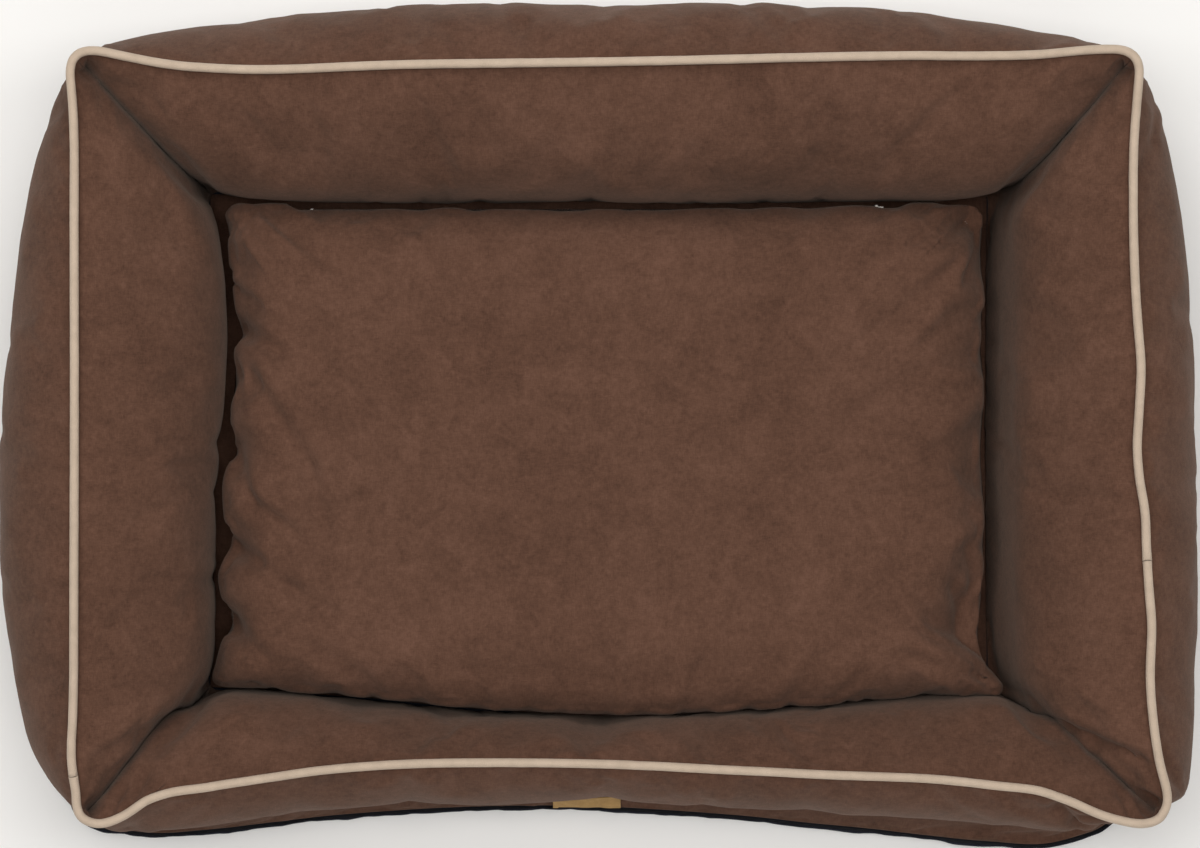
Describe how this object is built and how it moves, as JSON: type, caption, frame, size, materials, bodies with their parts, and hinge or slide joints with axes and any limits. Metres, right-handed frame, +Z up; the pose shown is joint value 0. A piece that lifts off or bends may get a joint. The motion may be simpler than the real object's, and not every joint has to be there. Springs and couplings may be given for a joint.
{
  "type": "pet cushion bed",
  "caption": "Rectangular pet bed: four stuffed bolsters in a ring round a loose cushion, with a piped top edge that dips at the front.",
  "frame": {"origin": "on the floor, in the middle of the bed's box, under the cushion", "axes": "+X to the bed's right, along its length, +Y to its back, +Z up. The front is -Y, where the bolster dips."},
  "size_m": [1, 0.7, 0.2],
  "materials": {
    "cover_fabric": "brown micro-suede, short brushed nap",
    "base_fabric": "dark hard-wearing plain weave",
    "piping_fabric": "beige twill, cut on the bias",
    "filler_cord": "twisted cotton",
    "stuffing": "polyester fibre",
    "label_weave": "blank woven label",
    "zip_tape": "woven zip tape",
    "zip_coil": "nylon coil",
    "zip_metal": "dull zinc alloy"
  },
  "bodies": {
    "bed": {"base_panel": "base_fabric", "floor_lining": "cover_fabric", "bolster_roll_front": "stuffing", "bolster_roll_right": "stuffing", "bolster_roll_back": "stuffing", "bolster_roll_left": "stuffing", "outer_wall_front": "cover_fabric", "outer_wall_right": "cover_fabric", "outer_wall_back": "cover_fabric", "outer_wall_left": "cover_fabric", "inner_wall_front": "cover_fabric", "inner_wall_right": "cover_fabric", "inner_wall_back": "cover_fabric", "inner_wall_left": "cover_fabric", "piping_cover_rear": "piping_fabric", "piping_cover_front": "piping_fabric", "piping_cord_rear": "filler_cord", "piping_cord_front": "filler_cord", "woven_label": "label_weave", "foot_zip_tape": "zip_tape", "foot_zip_coil": "zip_coil", "foot_zip_stops": "zip_metal"},
    "cushion": {"cushion_filling": "stuffing", "cushion_top_cover": "cover_fabric", "cushion_bottom_cover": "cover_fabric", "cushion_zip_tape": "zip_tape", "cushion_zip_coil": "zip_coil", "cushion_zip_stops": "zip_metal"},
    "cushion_slider": {"cushion_zip_slider": "zip_metal"},
    "cushion_pull": {"cushion_zip_pull": "zip_metal"},
    "foot_slider": {"foot_zip_slider": "zip_metal"},
    "foot_pull": {"foot_zip_pull": "zip_metal"}
  },
  "joints": [
    {"name": "cushion_lift", "type": "slide", "parent": "bed", "child": "cushion", "axis": [0, 0, 1], "range_m": [0, 0.35]},
    {"name": "cushion_zip_slide", "type": "slide", "parent": "cushion", "child": "cushion_slider", "axis": [-1, 0, 0], "range_m": [0, 0.468]},
    {"name": "cushion_pull_swing", "type": "hinge", "parent": "cushion_slider", "child": "cushion_pull", "pos_m": [0.2342, 0.1838, 0.0575], "axis": [0, 1, 0], "range_deg": [-80, 80]},
    {"name": "foot_zip_slide", "type": "slide", "parent": "bed", "child": "foot_slider", "axis": [-1, 0, 0], "range_m": [0, 0.588]},
    {"name": "foot_pull_turn", "type": "hinge", "parent": "foot_slider", "child": "foot_pull", "pos_m": [0.2942, 0.3231, 0.008], "axis": [0, 0, -1], "range_deg": [0, 175]}
  ]
}
